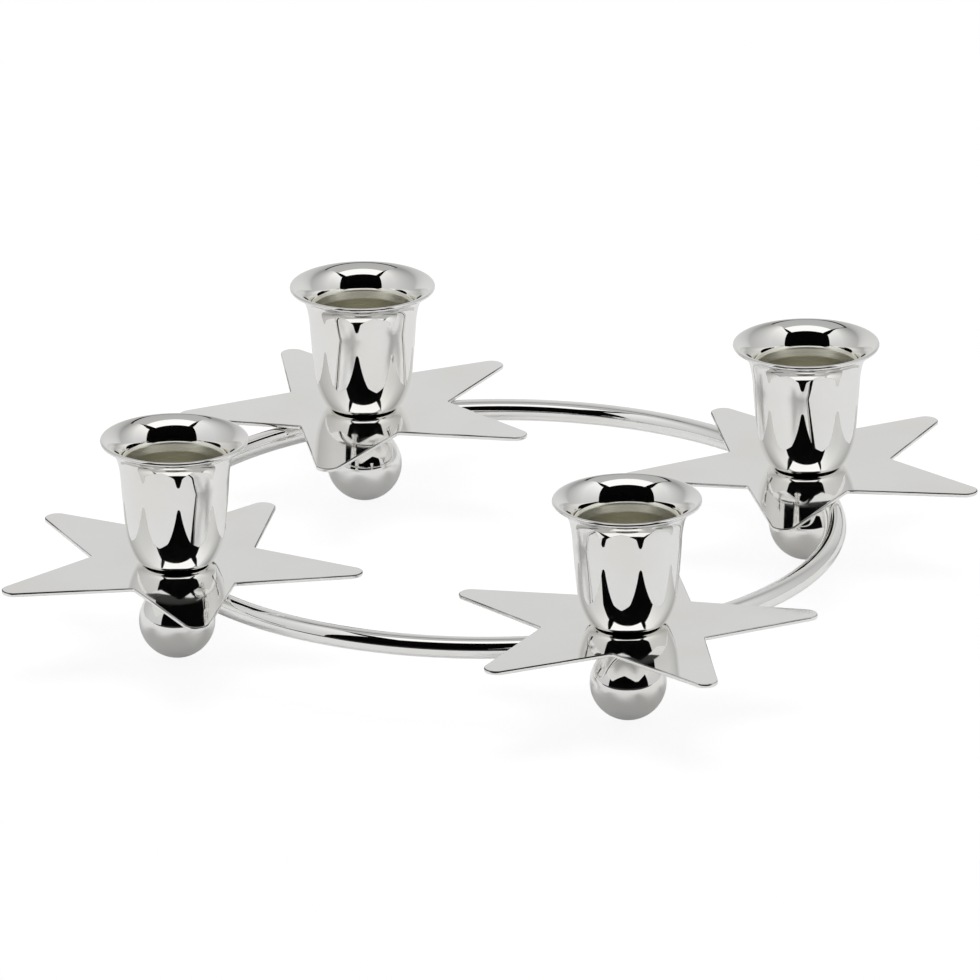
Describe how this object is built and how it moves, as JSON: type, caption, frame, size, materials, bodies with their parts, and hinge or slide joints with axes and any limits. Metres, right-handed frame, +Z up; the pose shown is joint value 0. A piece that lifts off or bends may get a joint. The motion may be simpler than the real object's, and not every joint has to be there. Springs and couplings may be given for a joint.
{
  "type": "advent candle holder",
  "caption": "Low candle ring: a round-rod ring on ball feet carries bell-shaped candle cups, each on a star-shaped drip plate that turns about its screw.",
  "frame": {"origin": "on the ring's axis, in the plane that the ball feet stand on", "axes": "+Z up along the ring's axis, +X through the east station, +Y through the north station"},
  "size_m": [0.2481, 0.2514, 0.0546],
  "materials": {
    "silver_plate": "mirror-polished silver plate",
    "screw_steel": "plain zinc-plated steel"
  },
  "bodies": {
    "holder": {"ring_rod": "silver_plate", "candle_cup_east": "silver_plate", "ball_foot_east": "silver_plate", "clamp_screw_east": "screw_steel", "lock_washer_east": "screw_steel", "candle_cup_north": "silver_plate", "ball_foot_north": "silver_plate", "clamp_screw_north": "screw_steel", "lock_washer_north": "screw_steel", "candle_cup_west": "silver_plate", "ball_foot_west": "silver_plate", "clamp_screw_west": "screw_steel", "lock_washer_west": "screw_steel", "candle_cup_south": "silver_plate", "ball_foot_south": "silver_plate", "clamp_screw_south": "screw_steel", "lock_washer_south": "screw_steel"},
    "star_east": {"star_plate_east": "silver_plate"},
    "star_north": {"star_plate_north": "silver_plate"},
    "star_west": {"star_plate_west": "silver_plate"},
    "star_south": {"star_plate_south": "silver_plate"}
  },
  "joints": [
    {"name": "star_turn_east", "type": "hinge", "parent": "holder", "child": "star_east", "pos_m": [0.081, 0, 0.02326], "axis": [0, 0, 1], "continuous": true},
    {"name": "star_turn_north", "type": "hinge", "parent": "holder", "child": "star_north", "pos_m": [0, 0.081, 0.02326], "axis": [0, 0, 1], "continuous": true},
    {"name": "star_turn_west", "type": "hinge", "parent": "holder", "child": "star_west", "pos_m": [-0.081, 0, 0.02326], "axis": [0, 0, 1], "continuous": true},
    {"name": "star_turn_south", "type": "hinge", "parent": "holder", "child": "star_south", "pos_m": [0, -0.081, 0.02326], "axis": [0, 0, 1], "continuous": true}
  ]
}
